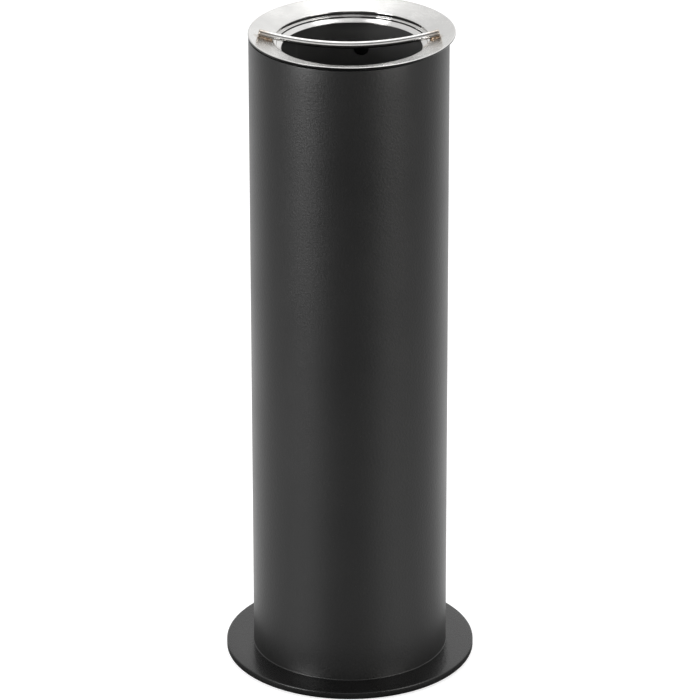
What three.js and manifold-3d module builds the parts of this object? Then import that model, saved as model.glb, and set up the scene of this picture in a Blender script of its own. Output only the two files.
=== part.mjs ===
// Umbrella stand: a black powder-coated steel tube on a round base plate, with a loose stainless
// ring lying on top like a shallow funnel. A bent bar is welded across the ring's opening: it parts
// the umbrellas and is the handle for lifting the ring off. Under the ring a plastic liner catches
// the drips and lifts out of the tube.
//
// Millimetres, +Z up. The origin is the centre of the footprint, at floor level. +Y is the back, and
// the bar runs along X.

import * as THREE from "three";
import { mergeVertices } from "three/addons/utils/BufferGeometryUtils.js";
import Module from "manifold-3d";

const wasm = await Module();
wasm.setup();

// ---- driving dimensions -------------------------------------------------------------------------

const FINE = 48; // sides of the large round pieces
const COARSE = 16; // sides of the small ones

const PAD_R = 10; // rubber foot pads under the base plate
const PAD_H = 1.5;
const PAD_AT_R = 90;

const PLATE_R = 105.8; // base plate, solid steel
const PLATE_T = 6;
const PLATE_EDGE = 0.8;

const TUBE_R = 82.5; // tube, rolled steel sheet
const TUBE_WALL = 1.5;
const TUBE_H = 550.5;
const TUBE_EDGE = 0.4;

const FLOOR_T = 2; // pressed floor pan, spot-welded into the foot of the tube
const FLOOR_RIM_H = 14;
const REST_GAP = 0.3; // left between pieces that lie against each other

const SCREW_COUNT = 4; // M6 countersunk screws, up through the plate into nuts on the floor pan
const SCREW_AT_R = 50;
const SCREW_R = 2.9;
const SCREW_HOLE_R = 3.3;
const SCREW_HEAD_R = 5.5;
const SCREW_SUNK = 0.3; // how far the head's face lies inside the plate
const SOCKET_R = 2.3; // hex socket, across corners
const SOCKET_DEEP = 2;
const NUT_R = 5.77; // M6 weld nut, 10 mm across flats
const NUT_H = 5;

const LINER_T = 1.8; // moulded liner, with a little draft
const LINER_FOOT_R = 76.4;
const LINER_TOP_R = 78.6;
const LINER_TOP_GAP = 12; // from the liner's rim up to the tube's
const LINER_BEAD_R = 79.9;
const LINER_BEAD_H = 3.2;
const LINER_PUSH_UP = 9.6; // the raised middle of its bottom clears the nuts
const LIFT_HOLE_R = 6.5; // holes under the rim, for hooking the liner out
const LIFT_HOLE_DOWN = 27.4;
const LINER_TURN = THREE.MathUtils.degToRad(-7.5); // how the liner happens to have been dropped in

const SHEET = 0.8; // stainless ring, pressed from one sheet
const RING_R = 85.2;
const RIM_RISE = 3.1; // middle of the sheet over the tube's edge, where the cone meets the rim
const RIM_H = 0.9; // the rim's short wall, middle to middle
const HEM = 3.4; // below it the edge is turned in under the cone, and lies on the tube
const CONE_SLOPE = THREE.MathUtils.degToRad(15.9);
const THROAT_R = 64.3; // where the cone ends and the throat begins
const RING_ASIDE = 2.3; // the ring lies loose, pushed over until its rim is flush with the tube
const RING_LEAN = THREE.MathUtils.degToRad(0.4); // and a little crooked, up on the right
const RING_UP = 0.5; // how far its middle is lifted by that

const BAR_R = 3; // bent bar
const BAR_HALF_SPAN = 74;
const BAR_SAG = 11;
const BAR_FORWARD = 4; // the bar is welded in this far in front of the ring's middle
const BAR_END_ROUND = 0.9;

// ---- what follows from them ---------------------------------------------------------------------

const PLATE_TOP = PAD_H + PLATE_T;
const TUBE_TOP = PLATE_TOP + TUBE_H;
const TUBE_BORE_R = TUBE_R - TUBE_WALL;
const FLOOR_TOP = PLATE_TOP + FLOOR_T;
const LINER_TOP = TUBE_TOP - LINER_TOP_GAP;

// ---- materials ----------------------------------------------------------------------------------

const material = (color, roughness, metalness) =>
  new THREE.MeshStandardMaterial({ color, roughness, metalness });

const powderCoat = material(0x1c1c1d, 0.5, 0);
const stainless = material(0xc9c8c5, 0.2, 1);
const polishedBar = material(0xd2d0cc, 0.12, 1);
const zincPlate = material(0xa9abad, 0.35, 1);
const blackPlastic = material(0x19191a, 0.55, 0);
const rubber = material(0x141414, 0.9, 0);

// ---- shape helpers ------------------------------------------------------------------------------

const at = (r, z) => new THREE.Vector2(r, z);

// Points of an arc in a profile, from angle a to angle b in degrees.
function arc(r, z, radius, a, b, steps = 4) {
  return Array.from({ length: steps + 1 }, (_, i) => {
    const turn = THREE.MathUtils.degToRad(a + ((b - a) * i) / steps);
    return at(r + radius * Math.cos(turn), z + radius * Math.sin(turn));
  });
}

// A profile of (radius, height) points, turned round Z. A profile that leaves the axis is closed.
function turned(points, sides = FINE) {
  const loop = [...points];
  const first = loop[0];
  const last = loop[loop.length - 1];
  if (first.x > 0 || last.x > 0) loop.push(first.clone());
  if (THREE.ShapeUtils.area(loop) < 0) loop.reverse();
  return new THREE.LatheGeometry(loop, sides).rotateX(Math.PI / 2);
}

function toSolid(geometry) {
  const bare = geometry.clone();
  bare.deleteAttribute("normal");
  bare.deleteAttribute("uv");
  const merged = mergeVertices(bare);
  return new wasm.Manifold(
    new wasm.Mesh({
      numProp: 3,
      vertProperties: merged.attributes.position.array,
      triVerts: new Uint32Array(merged.index.array),
    }),
  );
}

// The first geometry with all the others cut out of it.
function cut(geometry, tools) {
  const left = tools.reduce((body, tool) => body.subtract(toSolid(tool)), toSolid(geometry));
  const { vertProperties, triVerts } = left.getMesh();
  return new THREE.BufferGeometry()
    .setAttribute("position", new THREE.BufferAttribute(vertProperties, 3))
    .setIndex(new THREE.BufferAttribute(triVerts, 1));
}

// A straight round cutter along Z.
const drill = (radius, low, high, sides = COARSE) =>
  turned([at(0, low), at(radius, low), at(radius, high), at(0, high)], sides);

// One copy per screw or pad, evenly round the Z axis.
function around(count, radius, firstAngle, make) {
  return Array.from({ length: count }, (_, i) => {
    const turn = firstAngle + (2 * Math.PI * i) / count;
    return make(radius * Math.cos(turn), radius * Math.sin(turn), i + 1);
  });
}

function mesh(name, geometry, finish) {
  const made = new THREE.Mesh(geometry, finish);
  made.name = name;
  return made;
}

// Rounds the inner corners of a line of points: each corner is [radius, height, rounding].
function roundedLine(corners, steps = 3) {
  const line = [];
  corners.forEach(([r, z, rounding = 0], i) => {
    const here = at(r, z);
    if (!rounding) {
      line.push(here);
      return;
    }
    const back = at(corners[i - 1][0], corners[i - 1][1]).sub(here).normalize();
    const on = at(corners[i + 1][0], corners[i + 1][1]).sub(here).normalize();
    const half = Math.acos(back.dot(on)) / 2;
    const reach = rounding / Math.tan(half);
    const from = here.clone().addScaledVector(back, reach);
    const to = here.clone().addScaledVector(on, reach);
    const centre = here
      .clone()
      .addScaledVector(back.clone().add(on).normalize(), rounding / Math.sin(half));
    const start = Math.atan2(from.y - centre.y, from.x - centre.x);
    let sweep = Math.atan2(to.y - centre.y, to.x - centre.x) - start;
    sweep -= 2 * Math.PI * Math.round(sweep / (2 * Math.PI));
    for (let k = 0; k <= steps; k++) {
      const turn = start + (sweep * k) / steps;
      line.push(at(centre.x + rounding * Math.cos(turn), centre.y + rounding * Math.sin(turn)));
    }
  });
  return line;
}

// A bent sheet seen from its edge: half the thickness to each side of its middle line.
function sheetProfile(line, thickness) {
  const side = (sign) =>
    line.map((p, i) => {
      const along = line[Math.min(i + 1, line.length - 1)]
        .clone()
        .sub(line[Math.max(i - 1, 0)])
        .normalize();
      return at(p.x - (sign * along.y * thickness) / 2, p.y + (sign * along.x * thickness) / 2);
    });
  return [...side(1), ...side(-1).reverse()];
}

// ---- base ---------------------------------------------------------------------------------------

function basePlate() {
  const edge = PLATE_EDGE;
  const disc = turned([
    at(0, PAD_H),
    ...arc(PLATE_R - edge, PAD_H + edge, edge, -90, 0, 2),
    ...arc(PLATE_R - edge, PLATE_TOP - edge, edge, 0, 90, 3),
    at(0, PLATE_TOP),
  ]);
  const wide = SCREW_HEAD_R + 0.7;
  const below = PAD_H - 1;
  const holes = around(SCREW_COUNT, SCREW_AT_R, 0, (x, y) =>
    turned(
      [
        at(0, below),
        at(wide + 1, below),
        at(SCREW_HOLE_R, below + wide + 1 - SCREW_HOLE_R),
        at(SCREW_HOLE_R, PLATE_TOP + 1),
        at(0, PLATE_TOP + 1),
      ],
      COARSE,
    ).translate(x, y, 0),
  );
  return mesh("base_plate", cut(disc, holes), powderCoat);
}

const footPads = () =>
  around(SCREW_COUNT, PAD_AT_R, Math.PI / 4, (x, y, number) => {
    const bevel = 0.3;
    const pad = mesh(
      `foot_pad_${number}`,
      turned(
        [at(0, 0), at(PAD_R - bevel, 0), at(PAD_R, bevel), at(PAD_R, PAD_H), at(0, PAD_H)],
        COARSE,
      ),
      rubber,
    );
    pad.position.set(x, y, 0);
    return pad;
  });

function floorPan() {
  const r = TUBE_BORE_R - REST_GAP;
  const bend = 1.5;
  const pan = turned([
    at(0, PLATE_TOP),
    ...arc(r - bend, PLATE_TOP + bend, bend, -90, 0, 3),
    at(r, PLATE_TOP + FLOOR_RIM_H),
    at(r - FLOOR_T, PLATE_TOP + FLOOR_RIM_H),
    at(r - FLOOR_T, FLOOR_TOP + 1),
    at(r - FLOOR_T - 1, FLOOR_TOP),
    at(0, FLOOR_TOP),
  ]);
  const holes = around(SCREW_COUNT, SCREW_AT_R, 0, (x, y) =>
    drill(SCREW_HOLE_R, PLATE_TOP - 1, FLOOR_TOP + 1).translate(x, y, 0),
  );
  return mesh("floor_pan", cut(pan, holes), powderCoat);
}

const weldNuts = () =>
  around(SCREW_COUNT, SCREW_AT_R, 0, (x, y, number) => {
    const outline = new THREE.Shape(
      Array.from({ length: 6 }, (_, i) =>
        at(NUT_R * Math.cos((i * Math.PI) / 3), NUT_R * Math.sin((i * Math.PI) / 3)),
      ),
    );
    outline.holes.push(new THREE.Path().absarc(0, 0, SCREW_R + REST_GAP, 0, 2 * Math.PI, true));
    const geometry = new THREE.ExtrudeGeometry(outline, {
      depth: NUT_H,
      bevelEnabled: false,
      curveSegments: COARSE / 2,
    });
    const nut = mesh(`weld_nut_${number}`, geometry, zincPlate);
    nut.position.set(x, y, FLOOR_TOP);
    return nut;
  });

const baseScrews = () =>
  around(SCREW_COUNT, SCREW_AT_R, 0, (x, y, number) => {
    const face = PAD_H + SCREW_SUNK;
    const rim = 0.2;
    const tip = FLOOR_TOP + NUT_H + 0.6;
    const body = turned(
      [
        at(0, face),
        at(SCREW_HEAD_R, face),
        at(SCREW_HEAD_R, face + rim),
        at(SCREW_R, face + rim + SCREW_HEAD_R - SCREW_R),
        at(SCREW_R, tip - 0.8),
        at(SCREW_R - 0.8, tip),
        at(0, tip),
      ],
      COARSE,
    );
    const socket = drill(SOCKET_R, face - 1, face + SOCKET_DEEP, 6);
    const screw = mesh(`base_screw_${number}`, cut(body, [socket]), zincPlate);
    screw.position.set(x, y, 0);
    return screw;
  });

// ---- tube and liner -----------------------------------------------------------------------------

function tubeShell() {
  const edge = TUBE_EDGE;
  return mesh(
    "tube_shell",
    turned([
      at(TUBE_BORE_R, PLATE_TOP),
      at(TUBE_R, PLATE_TOP),
      ...arc(TUBE_R - edge, TUBE_TOP - edge, edge, 0, 90, 2),
      ...arc(TUBE_BORE_R + edge, TUBE_TOP - edge, edge, 90, 180, 2),
    ]),
    powderCoat,
  );
}

function liner() {
  const foot = FLOOR_TOP + REST_GAP;
  const middle = foot + LINER_PUSH_UP;
  const bend = 1.6;
  const beadLow = LINER_TOP - LINER_BEAD_H;
  const body = turned([
    at(0, middle),
    at(LINER_FOOT_R - 13, middle),
    at(LINER_FOOT_R - 7.5, foot),
    ...arc(LINER_FOOT_R - bend, foot + bend, bend, -90, 0, 2),
    at(LINER_TOP_R, beadLow),
    ...arc(LINER_BEAD_R - 0.6, beadLow + 0.6, 0.6, -90, 0, 1),
    ...arc(LINER_BEAD_R - 1, LINER_TOP - 1, 1, 0, 90, 2),
    at(LINER_TOP_R - LINER_T, LINER_TOP),
    at(LINER_FOOT_R - LINER_T, foot + LINER_T + 1),
    at(LINER_FOOT_R - LINER_T - 1, foot + LINER_T),
    at(LINER_FOOT_R - 6.4, foot + LINER_T),
    at(LINER_FOOT_R - 11.9, middle + LINER_T),
    at(0, middle + LINER_T),
  ]);
  const through = new THREE.CylinderGeometry(LIFT_HOLE_R, LIFT_HOLE_R, 4 * LINER_TOP_R, COARSE);
  const holes = through.translate(0, 0, LINER_TOP - LIFT_HOLE_DOWN);
  const made = mesh("liner", cut(body, [holes]), blackPlastic);
  made.rotation.z = LINER_TURN;
  return made;
}

// ---- ring and bar -------------------------------------------------------------------------------

// Height of the cone's middle surface over the tube's edge.
const coneAt = (r) => RIM_RISE - (RING_R - SHEET / 2 - r) * Math.tan(CONE_SLOPE);

// The ring's middle surface from its hem inwards: the rim's wall, the cone, a short wall, a small ledge,
// a second wall, and the edge turned in under it.
function ringLine() {
  const rimR = RING_R - SHEET / 2;
  const hemZ = REST_GAP + SHEET / 2;
  const throatTop = coneAt(THROAT_R);
  return roundedLine([
    [rimR - HEM, hemZ],
    [rimR - HEM + 1.4, hemZ, 0.5],
    [rimR, RIM_RISE - RIM_H, 0.4],
    [rimR, RIM_RISE, 0.4],
    [THROAT_R, throatTop, 0.6],
    [THROAT_R - 0.1, throatTop - 2.6, 0.5],
    [THROAT_R - 2.1, throatTop - 3, 0.5],
    [THROAT_R - 2.4, throatTop - 4.5, 1],
    [THROAT_R - 6.1, throatTop - 7.6],
  ]);
}

// Places a piece that was drawn in the ring's own frame, with a turn of its own round Y.
function onRing(piece, x, y, z, turn = 0) {
  piece.position.set(x, y, z).applyAxisAngle(new THREE.Vector3(0, 1, 0), -RING_LEAN);
  piece.position.add(new THREE.Vector3(RING_ASIDE, 0, TUBE_TOP + RING_UP));
  piece.rotation.y = turn - RING_LEAN;
  return piece;
}

const funnelRing = () =>
  onRing(mesh("funnel_ring", turned(sheetProfile(ringLine(), SHEET)), stainless), 0, 0, 0);

// A straight bar with softened ends, bent into an arc that hangs down between its ends.
function bar() {
  const bendR = (BAR_HALF_SPAN ** 2 + BAR_SAG ** 2) / (2 * BAR_SAG);
  const halfLength = bendR * Math.asin(BAR_HALF_SPAN / bendR);
  const steps = 24;
  const straight = halfLength - BAR_END_ROUND;
  const profile = [
    at(0, -halfLength),
    ...arc(BAR_R - BAR_END_ROUND, -straight, BAR_END_ROUND, -90, 0, 2),
    ...Array.from({ length: steps - 1 }, (_, i) => at(BAR_R, straight * ((2 * (i + 1)) / steps - 1))),
    ...arc(BAR_R - BAR_END_ROUND, straight, BAR_END_ROUND, 0, 90, 2),
    at(0, halfLength),
  ];
  const geometry = turned(profile, COARSE);
  const point = geometry.attributes.position;
  for (let i = 0; i < point.count; i++) {
    const turn = point.getZ(i) / bendR;
    const reach = bendR - point.getX(i);
    point.setXYZ(i, reach * Math.sin(turn), -point.getY(i), bendR - reach * Math.cos(turn));
  }
  const made = mesh("bar", geometry, polishedBar);

  // It lies on the cone where it has the cone's slope. It is welded in over the tube's axis and not the
  // ring's, so one end lies higher up the cone.
  const touchR = bendR * Math.sin(CONE_SLOPE);
  const over = (BAR_R + SHEET / 2 + REST_GAP) / Math.cos(CONE_SLOPE);
  const rise = bendR * (1 - Math.cos(CONE_SLOPE));
  const lean = Math.atan((RING_ASIDE * Math.tan(CONE_SLOPE)) / touchR);
  return onRing(made, -RING_ASIDE, -BAR_FORWARD, coneAt(touchR) + over - rise, lean);
}

// ---- the whole stand ----------------------------------------------------------------------------

const stand = new THREE.Group();
stand.add(
  ...footPads(),
  basePlate(),
  ...baseScrews(),
  floorPan(),
  ...weldNuts(),
  tubeShell(),
  liner(),
  funnelRing(),
  bar(),
);

export default stand;
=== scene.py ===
"""Umbrella stand: the looks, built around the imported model.

Every round piece is turned again here with fine, softened edges and stands for its CAD node. Lengths
are metres in the model's own frame: +Z up, the origin on the floor, the bar along X and +Y the back.
"""

import math

import bmesh
import bpy
from mathutils import Matrix, Vector


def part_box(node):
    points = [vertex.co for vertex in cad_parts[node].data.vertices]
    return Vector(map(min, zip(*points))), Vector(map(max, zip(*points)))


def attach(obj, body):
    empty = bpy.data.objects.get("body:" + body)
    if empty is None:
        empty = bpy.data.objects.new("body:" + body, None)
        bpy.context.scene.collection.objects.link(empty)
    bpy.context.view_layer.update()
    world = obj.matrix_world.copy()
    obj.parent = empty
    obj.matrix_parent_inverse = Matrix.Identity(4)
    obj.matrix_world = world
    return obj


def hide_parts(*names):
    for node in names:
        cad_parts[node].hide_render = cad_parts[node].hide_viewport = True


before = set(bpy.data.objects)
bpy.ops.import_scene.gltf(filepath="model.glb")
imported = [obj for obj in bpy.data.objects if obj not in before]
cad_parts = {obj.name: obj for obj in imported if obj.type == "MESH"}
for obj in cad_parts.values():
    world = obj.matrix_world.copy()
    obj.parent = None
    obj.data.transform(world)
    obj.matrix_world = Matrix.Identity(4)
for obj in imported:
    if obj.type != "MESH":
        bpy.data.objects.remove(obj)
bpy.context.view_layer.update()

MM = 0.001

# ---- sizes, from the frame ----------------------------------------------------------------------

_, TUBE_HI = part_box("tube_shell")
PLATE_LO, PLATE_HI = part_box("base_plate")
PAN_LO, PAN_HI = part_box("floor_pan")
LINER_LO, LINER_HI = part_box("liner")
_, RING_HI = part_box("funnel_ring")
BAR_LO, BAR_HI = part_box("bar")

TUBE_R = TUBE_HI.x
TUBE_TOP = TUBE_HI.z
PLATE_R = PLATE_HI.x
PLATE_TOP = PLATE_HI.z
RING_R = RING_HI.y
BAR_R = (BAR_HI.y - BAR_LO.y) / 2 - 0.05 * MM  # a little under, to stay inside the CAD box
BAR_Y = (BAR_HI.y + BAR_LO.y) / 2

# ---- sizes that a box does not show --------------------------------------------------------------

SIDES = 256
RING_SIDES = 384
SMALL_SIDES = 64
SHARP_BEND = math.radians(32)

TUBE_WALL = 1.5 * MM
TUBE_EDGE = 0.45 * MM
TUBE_FOOT_FILLET = 0.7 * MM  # where the coat runs from the tube onto the plate
PLATE_EDGE = 0.8 * MM

SHEET = 0.8 * MM  # funnel ring, as the CAD model has it
RIM_RISE = 3.1 * MM
RIM_H = 0.9 * MM
HEM = 3.4 * MM
CONE_SLOPE = math.radians(15.9)
THROAT_R = 64.3 * MM
REST_GAP = 0.3 * MM
RING_ASIDE = 2.3 * MM  # where the ring lies on the tube
RING_UP = 0.5 * MM
RING_LEAN = math.radians(0.4)
RING_SEAT = Matrix.Translation((RING_ASIDE, 0, TUBE_TOP + RING_UP)) @ Matrix.Rotation(-RING_LEAN, 4, "Y")

BAR_HALF_SPAN = 74 * MM
BAR_SAG = 11 * MM
BAR_END_ROUND = 0.9 * MM

LINER_WALL = 1.8 * MM
LINER_PUSH_UP = 9.6 * MM
LIFT_HOLE_R = 6.5 * MM
LIFT_HOLE_DOWN = 27.4 * MM
LINER_TURN = math.radians(-7.5)

SCREW_AT_R = 50 * MM
SCREW_COUNT = 4
PAD_COUNT = 4

WELD_AT = 69 * MM  # along X, to either side
GAP_SHADOW_R = 80 * MM  # where the painted shadow of the gap under the rim starts

CAMERA_LENS = 258.4
CAMERA_SHIFT = (0.0008, -0.0006)
CAMERA_AT = (0, -3.860, 1.9865)
CAMERA_PITCH = math.radians(66.117)
CAMERA_ROLL = math.radians(-0.087)
FLOOR_R = 9
FLOOR_DOWN = 0.2 * MM  # so that the pads' undersides do not lie in the floor's own face


# ---- mesh helpers --------------------------------------------------------------------------------

def arc(r, z, radius, start, end, steps=8):
    """Points of an arc in a (radius, height) profile, from start to end in degrees."""
    turns = [math.radians(start + (end - start) * i / steps) for i in range(steps + 1)]
    return [(r + radius * math.cos(t), z + radius * math.sin(t)) for t in turns]


def rounded_line(corners, steps=10):
    """A profile line with its corners rounded. A corner is (radius, height) or (radius, height, rounding)."""
    line = []
    for i, (r, z, *rounding) in enumerate(corners):
        if not rounding:
            line.append((r, z))
            continue
        here = Vector((r, z))
        back = (Vector(corners[i - 1][:2]) - here).normalized()
        on = (Vector(corners[i + 1][:2]) - here).normalized()
        half = math.acos(max(-1, min(1, back.dot(on)))) / 2
        reach = rounding[0] / math.tan(half)
        middle = here + (back + on).normalized() * rounding[0] / math.sin(half)
        start, end = (here + side * reach - middle for side in (back, on))
        first = math.atan2(start.y, start.x)
        sweep = math.atan2(end.y, end.x) - first
        sweep -= 2 * math.pi * round(sweep / (2 * math.pi))
        for k in range(steps + 1):
            turn = first + sweep * k / steps
            line.append((middle.x + rounding[0] * math.cos(turn), middle.y + rounding[0] * math.sin(turn)))
    return line


def spaced(line, gap):
    """The same line with further points, none more than gap apart, so that long faces stay even."""
    out = [line[0]]
    for a, b in zip(line, line[1:]):
        count = max(1, math.ceil(math.dist(a, b) / gap))
        out += [tuple(a[k] + (b[k] - a[k]) * (i + 1) / count for k in (0, 1)) for i in range(count)]
    return out


def sheet_profile(line, thickness, steps=6):
    """A bent sheet seen from its edge, half the thickness to each side of the line, with round edges."""
    sides = {1: [], -1: []}
    for i, (r, z) in enumerate(line):
        a, b = line[max(i - 1, 0)], line[min(i + 1, len(line) - 1)]
        along = (Vector(b) - Vector(a)).normalized()
        for side in sides:
            sides[side].append((r - side * along.y * thickness / 2, z + side * along.x * thickness / 2))

    def cap(end, frm):
        first = math.degrees(math.atan2(frm[1] - end[1], frm[0] - end[0]))
        return arc(end[0], end[1], thickness / 2, first, first - 180, steps)[1:-1]

    return sides[1] + cap(line[-1], sides[1][-1]) + sides[-1][::-1] + cap(line[0], sides[-1][0])


def turned(name, profile, sides=SIDES):
    """A profile of (radius, height) points turned round Z. One that leaves the axis is closed."""
    on_axis = profile[0][0] == 0 and profile[-1][0] == 0
    bm = bmesh.new()
    rings = []
    for r, z in profile:
        if r == 0:
            rings.append([bm.verts.new((0, 0, z))] * sides)
            continue
        turns = [2 * math.pi * k / sides for k in range(sides)]
        rings.append([bm.verts.new((r * math.cos(t), r * math.sin(t), z)) for t in turns])
    pairs = list(zip(rings, rings[1:])) + ([] if on_axis else [(rings[-1], rings[0])])
    for lower, upper in pairs:
        for k in range(sides):
            j = (k + 1) % sides
            corners = [lower[k], lower[j], upper[j], upper[k]]
            bm.faces.new(list(dict.fromkeys(corners)))
    return piece(name, bm)


def piece(name, bm):
    """An object from a bmesh, with its faces pointing out and smooth but for sharp bends."""
    bmesh.ops.recalc_face_normals(bm, faces=bm.faces)
    mesh = bpy.data.meshes.new(name)
    bm.to_mesh(mesh)
    bm.free()
    obj = bpy.data.objects.new(name, mesh)
    bpy.context.scene.collection.objects.link(obj)
    smooth(obj)
    return obj


def smooth(obj):
    obj.data.shade_smooth()
    obj.data.set_sharp_from_angle(angle=SHARP_BEND)


def apply_modifiers(obj):
    evaluated = obj.evaluated_get(bpy.context.evaluated_depsgraph_get())
    mesh = bpy.data.meshes.new_from_object(evaluated)
    obj.modifiers.clear()
    old, obj.data = obj.data, mesh
    bpy.data.meshes.remove(old)


def cut(obj, cutters, bevel=0.0):
    """The cutters taken out of obj, with the new edges softened, and the cutters removed."""
    for cutter in cutters:
        step = obj.modifiers.new("cut", "BOOLEAN")
        step.operation = "DIFFERENCE"
        step.solver = "EXACT"
        step.object = cutter
    if bevel:
        edge = obj.modifiers.new("edge", "BEVEL")
        edge.width = bevel
        edge.segments = 3
        edge.limit_method = "ANGLE"
        edge.angle_limit = math.radians(40)
        edge.use_clamp_overlap = True
    apply_modifiers(obj)
    for cutter in cutters:
        bpy.data.objects.remove(cutter)
    smooth(obj)


def place(obj, matrix):
    """Moves the mesh itself, so that the object stays at the origin."""
    obj.data.transform(matrix)


def wear(obj, body, material, slot, *nodes):
    """Gives a piece its material and body, and hides the CAD nodes it stands for. The slot is not used."""
    obj.data.materials.clear()
    obj.data.materials.append(material)
    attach(obj, body)
    if nodes:
        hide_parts(*nodes)
    return obj


# ---- materials -----------------------------------------------------------------------------------

class Nodes:
    """Short calls for building a node tree."""

    def __init__(self, tree):
        self.tree = tree

    def node(self, kind, **settings):
        made = self.tree.nodes.new(kind)
        for key, value in settings.items():
            setattr(made, key, value)
        return made

    def feed(self, socket, value):
        if isinstance(value, bpy.types.NodeSocket):
            self.tree.links.new(value, socket)
        else:
            socket.default_value = value

    def math(self, operation, a, b=0.0):
        made = self.node("ShaderNodeMath", operation=operation)
        for socket, value in zip(made.inputs, (a, b)):
            self.feed(socket, value)
        return made.outputs[0]

    def length(self, a, b):
        """The length of the flat vector (a, b)."""
        squares = self.math("ADD", self.math("MULTIPLY", a, a), self.math("MULTIPLY", b, b))
        return self.math("SQRT", squares)


class Finish(Nodes):
    """One procedural material round a Principled shader."""

    def __init__(self, name, metallic, **constants):
        self.material = bpy.data.materials.new(name)
        self.material.use_nodes = True
        super().__init__(self.material.node_tree)
        self.shader = self.tree.nodes["Principled BSDF"]
        self.shader.inputs["Metallic"].default_value = metallic
        for socket, value in constants.items():
            self.shader.inputs[socket].default_value = value
        self.place = self.node("ShaderNodeTexCoord").outputs["Object"]

    def stretched(self, scale):
        made = self.node("ShaderNodeVectorMath", operation="MULTIPLY")
        self.feed(made.inputs[0], self.place)
        made.inputs[1].default_value = scale
        return made.outputs[0]

    def shift_place(self, offset):
        """Moves the origin of everything that follows."""
        made = self.node("ShaderNodeVectorMath", operation="ADD")
        self.feed(made.inputs[0], self.place)
        made.inputs[1].default_value = offset
        self.place = made.outputs[0]

    def split(self):
        parts = self.node("ShaderNodeSeparateXYZ")
        self.feed(parts.inputs[0], self.place)
        return parts.outputs

    def radius(self):
        x, y, _ = self.split()
        return self.length(x, y)

    def mix_value(self, amount, a, b):
        """a where amount is 0, b where it is 1."""
        kept = self.math("MULTIPLY", a, self.math("SUBTRACT", 1.0, amount))
        return self.math("ADD", kept, self.math("MULTIPLY", b, amount))

    def polar(self, per_radius, per_turn, per_height):
        """Coordinates that run outwards, round and up, so that marks can follow the turning."""
        x, y, z = self.split()
        radius = self.radius()
        turn = self.math("ARCTAN2", y, x)
        joined = self.node("ShaderNodeCombineXYZ")
        self.feed(joined.inputs[0], self.math("MULTIPLY", radius, per_radius))
        self.feed(joined.inputs[1], self.math("MULTIPLY", turn, per_turn))
        self.feed(joined.inputs[2], self.math("MULTIPLY", z, per_height))
        return joined.outputs[0]

    def noise(self, scale, detail, rough, vector=None, distortion=0.0):
        made = self.node("ShaderNodeTexNoise")
        self.feed(made.inputs["Vector"], self.place if vector is None else vector)
        made.inputs["Scale"].default_value = scale
        made.inputs["Detail"].default_value = detail
        made.inputs["Roughness"].default_value = rough
        made.inputs["Distortion"].default_value = distortion
        return made.outputs["Fac"]

    def cells(self, scale):
        made = self.node("ShaderNodeTexVoronoi")
        self.feed(made.inputs["Vector"], self.place)
        made.inputs["Scale"].default_value = scale
        return made.outputs["Distance"]

    def span(self, value, low, high, to_low, to_high):
        """value carried over from low..high to to_low..to_high, and held at the ends."""
        made = self.node("ShaderNodeMapRange")
        for socket, number in zip(made.inputs, (value, low, high, to_low, to_high)):
            self.feed(socket, number)
        return made.outputs[0]

    def blend(self, amount, a, b):
        """Colour a where amount is 0, b where it is 1."""
        made = self.node("ShaderNodeMix", data_type="RGBA")
        self.feed(made.inputs["Factor"], amount)
        colours = [s for s in made.inputs if s.type == "RGBA"]
        self.feed(colours[0], a)
        self.feed(colours[1], b)
        return next(s for s in made.outputs if s.type == "RGBA")

    def bump(self, height, distance, strength=1.0, under=None):
        """A normal bent by height, on top of the normal under it."""
        made = self.node("ShaderNodeBump")
        made.inputs["Strength"].default_value = strength
        made.inputs["Distance"].default_value = distance
        self.feed(made.inputs["Height"], height)
        if under is not None:
            self.feed(made.inputs["Normal"], under)
        return made.outputs["Normal"]

    def finish(self, colour, roughness, normal=None):
        self.feed(self.shader.inputs["Base Color"], colour)
        self.feed(self.shader.inputs["Roughness"], roughness)
        if normal is not None:
            self.feed(self.shader.inputs["Normal"], normal)
        return self.material


def powder_coat(name, dust=0.0, gloss=0.0):
    """Satin black powder coat: orange peel over a fine grain, with faint cloudiness and a few specks."""
    f = Finish(name, 0.0)
    peel = f.noise(480, 2.0, 0.45)
    grain = f.noise(1500, 3.0, 0.6)
    cloud = f.noise(9, 3.0, 0.55)
    speck = f.span(f.cells(260), 0.06, 0.11, 1.0, 0.0)
    thin, thick = (0.0032, 0.0032, 0.0032, 1), (0.0048, 0.0047, 0.0046, 1)
    colour = f.blend(f.span(cloud, 0.35, 0.65, 0.0, 1.0), thin, thick)
    colour = f.blend(f.math("MULTIPLY", speck, 0.3), colour, (0.04, 0.04, 0.04, 1))
    if dust:
        film = f.span(f.noise(38, 5.0, 0.62), 0.44, 0.72, 0.0, dust)
        colour = f.blend(film, colour, (0.08, 0.078, 0.075, 1))
    rough = f.span(cloud, 0.3, 0.7, 0.37 - gloss, 0.43 - gloss)
    rough = f.math("ADD", rough, f.span(grain, 0.3, 0.7, -0.05, 0.05))
    normal = f.bump(grain, 0.012 * MM, 1.0, f.bump(peel, 0.13 * MM))
    return f.finish(colour, rough, normal)


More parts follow.
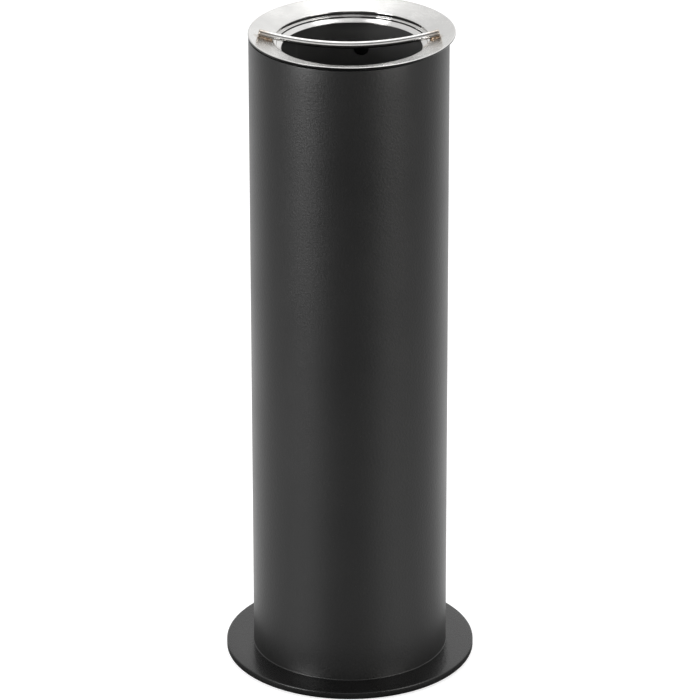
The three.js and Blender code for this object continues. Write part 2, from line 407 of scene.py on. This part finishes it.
def stainless():
    """Stainless sheet: a satin cone with faint turning marks, and a polished throat and rim."""
    f = Finish("stainless_ring", 1.0, Anisotropic=0.2)

    # Heat tint round the welds, longer along the bar than across it.
    x, y, _ = f.split()
    along = f.math("SUBTRACT", f.math("ABSOLUTE", x), WELD_AT)
    across = f.math("MULTIPLY", f.math("SUBTRACT", y, BAR_Y), 1.7)
    near = f.length(along, across)
    near = f.math("ADD", near, f.span(f.noise(190, 3.0, 0.6), 0.3, 0.7, -2 * MM, 2 * MM))
    tint = f.span(near, 4 * MM, 10 * MM, 0.75, 0.0)

    # From here on the origin is on the ring's own axis. The turned-in edge under the cone is painted near
    # black:
    # a painted shadow, standing for the shade in the gap under the rim.
    f.shift_place((-RING_ASIDE, 0, -TUBE_TOP - RING_UP))
    radius = f.radius()
    aside, _, up = f.split()
    height = f.math("SUBTRACT", up, f.math("MULTIPLY", aside, math.sin(RING_LEAN)))
    cone = f.math("ADD", f.math("MULTIPLY", radius, math.tan(CONE_SLOPE)), cone_at(0))
    # mask of the painted shadow: 1 on the turned-in edge under the rim
    gap_shadow_mask = f.math(
        "MULTIPLY",
        f.span(radius, GAP_SHADOW_R, GAP_SHADOW_R + 2 * MM, 0.0, 1.0),
        f.span(f.math("SUBTRACT", height, cone), -0.35 * MM, 0.0, 1.0, 0.0),
    )

    marks = f.noise(1.0, 4.0, 0.6, f.polar(5200, 2.2, 5200))
    haze = f.noise(34, 4.0, 0.6)
    ripple = f.noise(55, 1.0, 0.4)
    scratch = f.span(f.noise(1.0, 1.0, 0.3, f.stretched((2600, 90, 300)), 1.2), 0.72, 0.76, 0.0, 1.0)
    satin = f.math(  # 1 on the cone, 0 on the throat and the rim
        "MULTIPLY",
        f.span(radius, THROAT_R + 0.2 * MM, THROAT_R + 1.4 * MM, 0.0, 1.0),
        f.span(radius, RING_R - 1.6 * MM, RING_R - 0.9 * MM, 1.0, 0.0),
    )
    colour = f.blend(f.span(haze, 0.3, 0.7, 0.0, 1.0), (0.67, 0.665, 0.655, 1), (0.74, 0.735, 0.72, 1))
    colour = f.blend(tint, colour, (0.45, 0.38, 0.31, 1))
    # painted shadow: the steel under the rim's edge is coloured near black for the shade in the gap there
    colour = f.blend(gap_shadow_mask, colour, (0.012, 0.012, 0.012, 1))
    polished = f.math("ADD", f.span(haze, 0.3, 0.7, 0.07, 0.11), f.span(marks, 0.35, 0.65, 0.0, 0.03))
    brushed = f.math("ADD", f.span(haze, 0.3, 0.7, 0.18, 0.25), f.span(marks, 0.35, 0.65, 0.0, 0.06))
    rough = f.mix_value(satin, polished, brushed)
    rough = f.math("ADD", rough, f.math("MULTIPLY", scratch, 0.08))
    normal = f.bump(marks, 0.003 * MM, 0.6, f.bump(ripple, 0.03 * MM))
    return f.finish(colour, rough, normal)


def bar_steel():
    """Polished round bar: lines along its length, and straw to brown heat tint near the welded ends."""
    f = Finish("bar_polished", 1.0)
    drawn = f.noise(1.0, 3.0, 0.55, f.stretched((30, 2600, 2600)))
    haze = f.noise(70, 3.0, 0.6)
    x, _, _ = f.split()
    out = f.math("ABSOLUTE", x)
    wander = f.span(f.noise(160, 3.0, 0.6), 0.3, 0.7, -3 * MM, 3 * MM)
    tint = f.span(f.math("ADD", out, wander), 60 * MM, 71 * MM, 0.0, 0.75)
    clean = f.blend(f.span(haze, 0.3, 0.7, 0.0, 1.0), (0.72, 0.71, 0.695, 1), (0.78, 0.775, 0.76, 1))
    colour = f.blend(tint, clean, (0.46, 0.39, 0.32, 1))
    rough = f.math("ADD", f.span(drawn, 0.3, 0.7, 0.07, 0.14), f.math("MULTIPLY", tint, 0.12))
    normal = f.bump(drawn, 0.004 * MM)
    return f.finish(colour, rough, normal)


def weld_metal():
    """Small weld: rippled, darker, brown to greyish brown from the heat."""
    f = Finish("weld_heat_tinted", 1.0)
    patch = f.noise(420, 3.0, 0.6)
    ripple = f.noise(1.0, 1.0, 0.4, f.stretched((1700, 500, 500)))
    colour = f.blend(f.span(patch, 0.35, 0.65, 0.0, 1.0), (0.30, 0.20, 0.12, 1), (0.42, 0.36, 0.30, 1))
    return f.finish(colour, f.span(patch, 0.3, 0.7, 0.28, 0.45), f.bump(ripple, 0.10 * MM))


def moulded_plastic():
    """Moulded liner: fine spark texture, faint flow bands and scuffs from umbrella tips.

    A grey lighter than its slot's name says, so that the inside is not lost in the dark.
    """
    f = Finish("liner_plastic", 0.0)
    texture = f.noise(1300, 2.0, 0.6)
    flow = f.noise(1.0, 3.0, 0.5, f.polar(40, 1.5, 6))
    scuff = f.span(f.noise(1.0, 2.0, 0.5, f.stretched((260, 260, 18)), 0.6), 0.66, 0.74, 0.0, 1.0)
    colour = f.blend(f.span(flow, 0.3, 0.7, 0.0, 1.0), (0.095, 0.095, 0.094, 1), (0.125, 0.124, 0.122, 1))
    colour = f.blend(f.math("MULTIPLY", scuff, 0.35), colour, (0.17, 0.167, 0.162, 1))
    rough = f.math("ADD", f.span(flow, 0.3, 0.7, 0.48, 0.56), f.math("MULTIPLY", scuff, 0.12))
    return f.finish(colour, rough, f.bump(texture, 0.02 * MM))


def pad_rubber():
    """Matte black rubber with a fine tooth and dust in it."""
    f = Finish("pad_rubber", 0.0)
    tooth = f.noise(1800, 2.0, 0.6)
    dust = f.span(f.noise(240, 4.0, 0.6), 0.5, 0.7, 0.0, 0.5)
    colour = f.blend(dust, (0.014, 0.014, 0.014, 1), (0.06, 0.057, 0.052, 1))
    return f.finish(colour, f.span(tooth, 0.3, 0.7, 0.78, 0.92), f.bump(tooth, 0.05 * MM))


def zinc():
    """Bright zinc plate: grains a few millimetres wide and a thin haze."""
    f = Finish("zinc_plate", 1.0)
    grain = f.cells(520)
    haze = f.noise(260, 4.0, 0.6)
    colour = f.blend(f.span(grain, 0.1, 0.8, 0.0, 1.0), (0.50, 0.51, 0.52, 1), (0.60, 0.61, 0.63, 1))
    rough = f.math("ADD", f.span(haze, 0.3, 0.7, 0.24, 0.36), f.span(grain, 0.1, 0.8, 0.0, 0.06))
    return f.finish(colour, rough, f.bump(haze, 0.02 * MM))


# ---- pieces --------------------------------------------------------------------------------------

def build_tube(coat):
    bore = TUBE_R - TUBE_WALL
    foot = TUBE_FOOT_FILLET
    outside = [
        *arc(TUBE_R + foot, PLATE_TOP + foot, foot, 270, 180, 6),
        (TUBE_R, TUBE_TOP - TUBE_EDGE),
    ]
    profile = [
        *spaced(outside, 20 * MM),
        *arc(TUBE_R - TUBE_EDGE, TUBE_TOP - TUBE_EDGE, TUBE_EDGE, 0, 90)[1:],
        *arc(bore + TUBE_EDGE, TUBE_TOP - TUBE_EDGE, TUBE_EDGE, 90, 180),
        *spaced([(bore, TUBE_TOP - TUBE_EDGE), (bore, PLATE_TOP)], 20 * MM)[1:],
    ]
    wear(turned("tube", profile), "stand", coat, "black_powder_coat", "tube_shell")


def build_plate(coat):
    edge = PLATE_EDGE
    profile = [
        (0, PLATE_LO.z),
        *spaced([(20 * MM, PLATE_LO.z), (PLATE_R - edge, PLATE_LO.z)], 12 * MM),
        *arc(PLATE_R - edge, PLATE_LO.z + edge, edge, 270, 360)[1:],
        *arc(PLATE_R - edge, PLATE_TOP - edge, edge, 0, 90),
        *spaced([(PLATE_R - edge, PLATE_TOP), (20 * MM, PLATE_TOP)], 12 * MM)[1:],
        (0, PLATE_TOP),
    ]
    plate = turned("base_disc", profile)
    sink_r = 6.2 * MM
    bore_r = 3.3 * MM
    below = PLATE_LO.z - 1 * MM
    sink = [
        (0, below),
        (sink_r + 1 * MM, below),
        (bore_r, below + sink_r + 1 * MM - bore_r),
        (bore_r, PLATE_TOP + 1 * MM),
        (0, PLATE_TOP + 1 * MM),
    ]
    cutters = []
    for i in range(SCREW_COUNT):
        turn = 2 * math.pi * i / SCREW_COUNT
        cutter = turned(f"sink_{i}", sink, SMALL_SIDES)
        place(cutter, Matrix.Translation((SCREW_AT_R * math.cos(turn), SCREW_AT_R * math.sin(turn), 0)))
        cutters.append(cutter)
    cut(plate, cutters)
    wear(plate, "stand", coat, "black_powder_coat", "base_plate")


def build_pan(coat):
    """The pressed floor pan: a disc with its edge bent up."""
    r = PAN_HI.x
    thick = 2 * MM
    profile = rounded_line([
        (0, PAN_LO.z),
        (r, PAN_LO.z, 1.8 * MM),
        (r, PAN_HI.z, 0.5 * MM),
        (r - thick, PAN_HI.z, 0.5 * MM),
        (r - thick, PAN_LO.z + thick, 1.0 * MM),
        (0, PAN_LO.z + thick),
    ], 6)
    pan = turned("floor_pan_pressed", spaced(profile, 12 * MM))
    wear(pan, "stand", coat, "black_powder_coat", "floor_pan")


def build_pads(rubber):
    for i in range(1, PAD_COUNT + 1):
        lo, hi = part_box(f"foot_pad_{i}")
        r = (hi.x - lo.x) / 2
        soft = 0.35 * MM
        profile = [
            (0, lo.z),
            *arc(r - soft, lo.z + soft, soft, 270, 360, 5),
            (r, hi.z),
            (0, hi.z),
        ]
        pad = turned(f"pad_{i}", profile, SMALL_SIDES)
        place(pad, Matrix.Translation(((lo.x + hi.x) / 2, (lo.y + hi.y) / 2, 0)))
        wear(pad, "stand", rubber, "rubber_pad", f"foot_pad_{i}")


def build_screws(metal):
    shank_r = 2.9 * MM
    for i in range(1, SCREW_COUNT + 1):
        lo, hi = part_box(f"base_screw_{i}")
        head_r = (hi.x - lo.x) / 2
        rim = 0.25 * MM
        neck = lo.z + rim + head_r - shank_r
        profile = [
            (0, lo.z),
            *arc(head_r - 0.1 * MM, lo.z + 0.1 * MM, 0.1 * MM, 270, 360, 3),
            (head_r, lo.z + rim),
            (shank_r, neck),
            (shank_r, hi.z - 0.8 * MM),
            (shank_r - 0.8 * MM, hi.z),
            (0, hi.z),
        ]
        screw = turned(f"screw_{i}", profile, SMALL_SIDES)
        key_r, below = 2.3 * MM, lo.z - 1 * MM
        socket = [(0, below), (key_r, below), (key_r, lo.z + 2 * MM), (0, lo.z + 2.8 * MM)]
        cut(screw, [turned(f"socket_{i}", socket, 6)], bevel=0.12 * MM)
        place(screw, Matrix.Translation(((lo.x + hi.x) / 2, (lo.y + hi.y) / 2, 0)))
        wear(screw, "stand", metal, "zinc_steel", f"base_screw_{i}")


def build_nuts(metal):
    """Hexagonal weld nuts with chamfered corners and a bore."""
    for i in range(1, SCREW_COUNT + 1):
        lo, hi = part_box(f"weld_nut_{i}")
        corner_r = (hi.x - lo.x) / 2
        nut = turned(f"nut_{i}", [(0, lo.z), (corner_r, lo.z), (corner_r, hi.z), (0, hi.z)], 6)
        dome_r = corner_r + 1 * MM
        dome = [
            (corner_r * 0.9, hi.z + 0.01 * MM),
            (dome_r, hi.z + 0.01 * MM - (dome_r - corner_r * 0.9) * 0.5),
            (dome_r, hi.z + 1 * MM),
            (corner_r * 0.9, hi.z + 1 * MM),
        ]
        bore_r, below, above = 3.15 * MM, lo.z - 1 * MM, hi.z + 1 * MM
        bore = [(0, below), (bore_r, below), (bore_r, above), (0, above)]
        cutters = [turned(f"dome_{i}", dome, SMALL_SIDES), turned(f"bore_{i}", bore, SMALL_SIDES)]
        cut(nut, cutters, bevel=0.1 * MM)
        place(nut, Matrix.Translation(((lo.x + hi.x) / 2, (lo.y + hi.y) / 2, 0)))
        wear(nut, "stand", metal, "zinc_steel", f"weld_nut_{i}")


def build_liner(plastic):
    foot_r = 76.4 * MM
    top_r = 78.6 * MM
    bead_r = LINER_HI.x
    foot, top = LINER_LO.z, LINER_HI.z
    middle = foot + LINER_PUSH_UP
    wall = LINER_WALL
    bead_low = top - 3.2 * MM
    outside = rounded_line([
        (0, middle),
        (foot_r - 13 * MM, middle, 4 * MM),
        (foot_r - 7.5 * MM, foot, 2 * MM),
        (foot_r, foot, 2.2 * MM),
        (top_r, bead_low, 0.6 * MM),
        (bead_r, bead_low, 0.6 * MM),
        (bead_r, top, 1.1 * MM),
        (top_r - wall, top, 0.6 * MM),
        (foot_r - wall, foot + wall, 2.6 * MM),
        (foot_r - 6.4 * MM, foot + wall, 2 * MM),
        (foot_r - 11.9 * MM, middle + wall, 4 * MM),
        (0, middle + wall),
    ])
    liner = turned("drip_liner", spaced(outside, 22 * MM))
    reach = 2 * top_r
    bit = turned("bit", [(0, -reach), (LIFT_HOLE_R, -reach), (LIFT_HOLE_R, reach), (0, reach)], SMALL_SIDES)
    place(bit, Matrix.Translation((0, 0, top - LIFT_HOLE_DOWN)) @ Matrix.Rotation(math.pi / 2, 4, "X"))
    cut(liner, [bit], bevel=0.35 * MM)
    place(liner, Matrix.Rotation(LINER_TURN, 4, "Z"))
    wear(liner, "liner", plastic, "black_plastic", "liner")


def cone_at(r):
    """Height of the cone's middle surface over the tube's edge, at a radius from the ring's own axis."""
    return RIM_RISE - (RING_R - SHEET / 2 - r) * math.tan(CONE_SLOPE)


def build_ring(steel):
    """The funnel ring: its line runs from the turned-in edge, up the rim and down cone and throat."""
    rim_r = RING_R - SHEET / 2
    hem_z = REST_GAP + SHEET / 2
    throat_top = cone_at(THROAT_R)
    line = rounded_line([
        (rim_r - HEM, hem_z),
        (rim_r - HEM + 1.4 * MM, hem_z, 0.5 * MM),
        (rim_r, RIM_RISE - RIM_H, 0.4 * MM),
        (rim_r, RIM_RISE, 0.4 * MM),
        (THROAT_R, throat_top, 0.6 * MM),
        (THROAT_R - 0.1 * MM, throat_top - 3.3 * MM, 0.7 * MM),
        (THROAT_R - 1.9 * MM, throat_top - 3.5 * MM, 0.15 * MM),
        (THROAT_R - 2.1 * MM, throat_top - 5.3 * MM, 0.8 * MM),
        (THROAT_R - 6.1 * MM, throat_top - 7.6 * MM),
    ], 7)
    ring = turned("ring", sheet_profile(spaced(line, 0.8 * MM), SHEET), RING_SIDES)
    place(ring, RING_SEAT)
    wear(ring, "ring", steel, "stainless_ring", "funnel_ring")


def bend_round():
    """Radius of the bar's bend."""
    return (BAR_HALF_SPAN ** 2 + BAR_SAG ** 2) / (2 * BAR_SAG)


def build_bar(steel):
    bend_r = bend_round()
    half = bend_r * math.asin(BAR_HALF_SPAN / bend_r)
    soft = BAR_END_ROUND
    straight = half - soft
    profile = [
        (0, -half),
        *arc(BAR_R - soft, -straight, soft, 270, 360),
        *spaced([(BAR_R, -straight), (BAR_R, straight)], 1.5 * MM)[1:-1],
        *arc(BAR_R - soft, straight, soft, 0, 90),
        (0, half),
    ]
    bar = turned("handle_bar", profile, SMALL_SIDES)
    for v in bar.data.vertices:  # the straight bar is bent upwards, from along Z to along X
        turn = v.co.z / bend_r
        reach = bend_r - v.co.x
        v.co = Vector((reach * math.sin(turn), -v.co.y, bend_r - reach * math.cos(turn)))
    place(bar, bar_seat())
    wear(bar, "ring", steel, "polished_bar", "bar")


def bar_seat():
    """Where the bar's lowest point lies, and how the bar leans with the ring pushed aside under it."""
    bend_r = bend_round()
    touch_r = bend_r * math.sin(CONE_SLOPE)
    over = (BAR_R + SHEET / 2 + REST_GAP) / math.cos(CONE_SLOPE)
    low = cone_at(touch_r) + over - bend_r * (1 - math.cos(CONE_SLOPE))
    lean = math.atan(RING_ASIDE * math.tan(CONE_SLOPE) / touch_r)
    return RING_SEAT @ Matrix.Translation((-RING_ASIDE, BAR_Y, low)) @ Matrix.Rotation(lean, 4, "Y")


def build_welds(metal):
    """Rippled beads along both sides of the bar's ends. One end reaches less far onto the cone."""
    beads = {"left": (-68 * MM, 6.0 * MM), "right": (70 * MM, 4.4 * MM)}
    for end, (x, half) in beads.items():
        for side, y in (("front", -1.9 * MM), ("back", 1.9 * MM)):
            profile = [(0, -half)]
            for i in range(1, 48):
                along = i / 24 - 1
                ripple = 1 + 0.11 * math.sin(26 * along + 900 * y) + 0.06 * math.sin(61 * along + x * 40)
                profile.append((1.0 * MM * math.sqrt(1 - along ** 2) * ripple, half * along))
            profile.append((0, half))
            bead = turned(f"weld_{end}_{side}", profile, 24)
            height = cone_at(abs(x - RING_ASIDE)) + SHEET / 2 + 0.35 * MM
            lean = math.pi / 2 - math.copysign(CONE_SLOPE, x)
            spot = Matrix.Translation((x - RING_ASIDE, BAR_Y + y, height))
            place(bead, RING_SEAT @ spot @ Matrix.Rotation(lean, 4, "Y"))
            wear(bead, "ring", metal, "polished_bar")


# ---- stage ---------------------------------------------------------------------------------------

def photo_camera():
    data = bpy.data.cameras.new("camera")
    data.sensor_width = 36
    data.lens = CAMERA_LENS
    data.shift_x, data.shift_y = CAMERA_SHIFT
    data.clip_end = 60
    camera = bpy.data.objects.new("camera", data)
    pitch = Matrix.Rotation(CAMERA_PITCH, 4, "X")
    roll = Matrix.Rotation(CAMERA_ROLL, 4, "Z")
    camera.matrix_world = Matrix.Translation(CAMERA_AT) @ pitch @ roll
    bpy.context.scene.collection.objects.link(camera)
    bpy.context.scene.camera = camera


def softbox(name, azimuth, height, distance, width, tall, power, aim=0.3, colour=(1, 1, 1)):
    """An area light. Azimuth 0 is towards the camera, and positive azimuths are on the right."""
    data = bpy.data.lights.new(name, "AREA")
    data.shape = "RECTANGLE"
    data.size = width
    data.size_y = tall
    data.energy = power
    data.color = colour
    light = bpy.data.objects.new(name, data)
    turn = math.radians(azimuth)
    light.location = (distance * math.sin(turn), -distance * math.cos(turn), height)
    towards = Vector((0, 0, aim)) - light.location
    light.rotation_euler = towards.to_track_quat("-Z", "Y").to_euler()
    bpy.context.scene.collection.objects.link(light)


class Shade(Nodes):
    """Node building for the world and the floor."""

    def __init__(self, tree):
        super().__init__(tree)
        tree.nodes.clear()

    def ease(self, value, low, high, to_low, to_high):
        made = self.node("ShaderNodeMapRange", interpolation_type="SMOOTHSTEP")
        for socket, number in zip(made.inputs, (value, low, high, to_low, to_high)):
            self.feed(socket, number)
        return made.outputs[0]

    def camera_mix(self, others, camera):
        """One shader for camera rays, another for all the light that reaches the object."""
        mix = self.node("ShaderNodeMixShader")
        self.feed(mix.inputs[0], self.node("ShaderNodeLightPath").outputs["Is Camera Ray"])
        self.feed(mix.inputs[1], others)
        self.feed(mix.inputs[2], camera)
        return mix.outputs[0]


def studio_world():
    """A white backdrop behind, a little dimmer on the left, and a dim room in front and overhead.

    The camera sees plain white.
    """
    world = bpy.data.worlds.new("studio")
    world.use_nodes = True
    shade = Shade(world.node_tree)
    parts = shade.node("ShaderNodeSeparateXYZ")
    shade.feed(parts.inputs[0], shade.node("ShaderNodeTexCoord").outputs["Generated"])
    x, y, z = parts.outputs
    back = shade.ease(y, -0.50, -0.22, 0.12, 1.0)
    back = shade.math("MULTIPLY", back, shade.ease(x, -0.14, 0.06, 0.80, 1.0))
    low = shade.ease(z, 0.30, 0.75, 1.05, 1.07)
    high = shade.ease(z, 0.86, 0.98, 0.0, 0.25)
    light = shade.node("ShaderNodeBackground")
    shade.feed(light.inputs["Color"], shade.math("MULTIPLY", back, shade.math("SUBTRACT", low, high)))
    seen = shade.node("ShaderNodeBackground")
    seen.inputs["Color"].default_value = (1, 1, 1, 1)
    out = shade.node("ShaderNodeOutputWorld")
    shade.feed(out.inputs["Surface"], shade.camera_mix(light.outputs[0], seen.outputs[0]))
    bpy.context.scene.world = world


def pale_floor():
    """A pale floor, seen nearly white.

    What it throws at the object is painted: bright behind, falling off forwards, with a lobe to either
    side of the front and a shadow close round the foot. side runs from -1 in front to 1 behind.
    """
    material = bpy.data.materials.new("floor_pale")
    material.use_nodes = True
    shade = Shade(material.node_tree)
    seen = shade.node("ShaderNodeBsdfDiffuse")
    seen.inputs["Color"].default_value = (0.5, 0.5, 0.5, 1)
    glow = shade.node("ShaderNodeEmission")
    glow.inputs["Strength"].default_value = 0.70
    both = shade.node("ShaderNodeAddShader")
    shade.feed(both.inputs[0], seen.outputs[0])
    shade.feed(both.inputs[1], glow.outputs[0])

    parts = shade.node("ShaderNodeSeparateXYZ")
    shade.feed(parts.inputs[0], shade.node("ShaderNodeTexCoord").outputs["Object"])
    x, y, _ = parts.outputs
    squares = shade.math("ADD", shade.math("MULTIPLY", x, x), shade.math("MULTIPLY", y, y))
    reach = shade.math("SQRT", shade.math("ADD", squares, 0.0001))
    side = shade.math("DIVIDE", y, reach)
    wide = shade.ease(side, -0.92, -0.05, 0.04, 0.42)
    behind = shade.ease(side, 0.10, 0.85, 0.0, 0.60)
    far = shade.math("ADD", wide, behind)
    near = shade.ease(reach, 0.40, 1.30, 0.44, 0.08)
    lobe = shade.ease(side, -0.99, -0.80, 0.0, 0.42)
    lobe = shade.math("MULTIPLY", lobe, shade.ease(side, -0.70, -0.30, 1.0, 0.0))
    lobe = shade.math("MULTIPLY", lobe, shade.ease(reach, 0.50, 1.30, 1.0, 0.0))
    shadow = shade.ease(reach, 0.105, 0.155, 0.12, 1.0)
    total = shade.math("ADD", shade.math("ADD", far, near), lobe)
    thrown = shade.node("ShaderNodeEmission")
    shade.feed(thrown.inputs["Strength"], shade.math("MULTIPLY", total, shadow))
    out = shade.node("ShaderNodeOutputMaterial")
    shade.feed(out.inputs["Surface"], shade.camera_mix(thrown.outputs[0], both.outputs[0]))

    bm = bmesh.new()
    bmesh.ops.create_circle(bm, cap_ends=True, radius=FLOOR_R, segments=96)
    floor = piece("floor", bm)
    floor.data.materials.append(material)
    place(floor, Matrix.Translation((0, 0, -FLOOR_DOWN)))


def studio():
    photo_camera()
    studio_world()
    pale_floor()
    softbox("key_left", -50, 0.72, 2.4, 1.0, 1.7, 56, aim=0.35)
    softbox("fill_right", 49, 0.64, 2.4, 1.2, 1.6, 30, aim=0.35, colour=(1.0, 0.985, 0.96))
    softbox("front", 0, 2.15, 4.8, 2.2, 3.8, 18, aim=0.5)
    softbox("top", 180, 2.6, 1.0, 1.6, 1.0, 10, aim=0.5)
    bpy.context.scene.view_settings.view_transform = "Standard"


# ---- the whole scene -----------------------------------------------------------------------------

studio()
coat = powder_coat("powder_coat_black")
plate_coat = powder_coat("powder_coat_plate", dust=0.02, gloss=0.13)
metal = zinc()
build_tube(coat)
build_plate(plate_coat)
build_pan(coat)
build_pads(pad_rubber())
build_screws(metal)
build_nuts(metal)
build_liner(moulded_plastic())
build_ring(stainless())
build_bar(bar_steel())
build_welds(weld_metal())
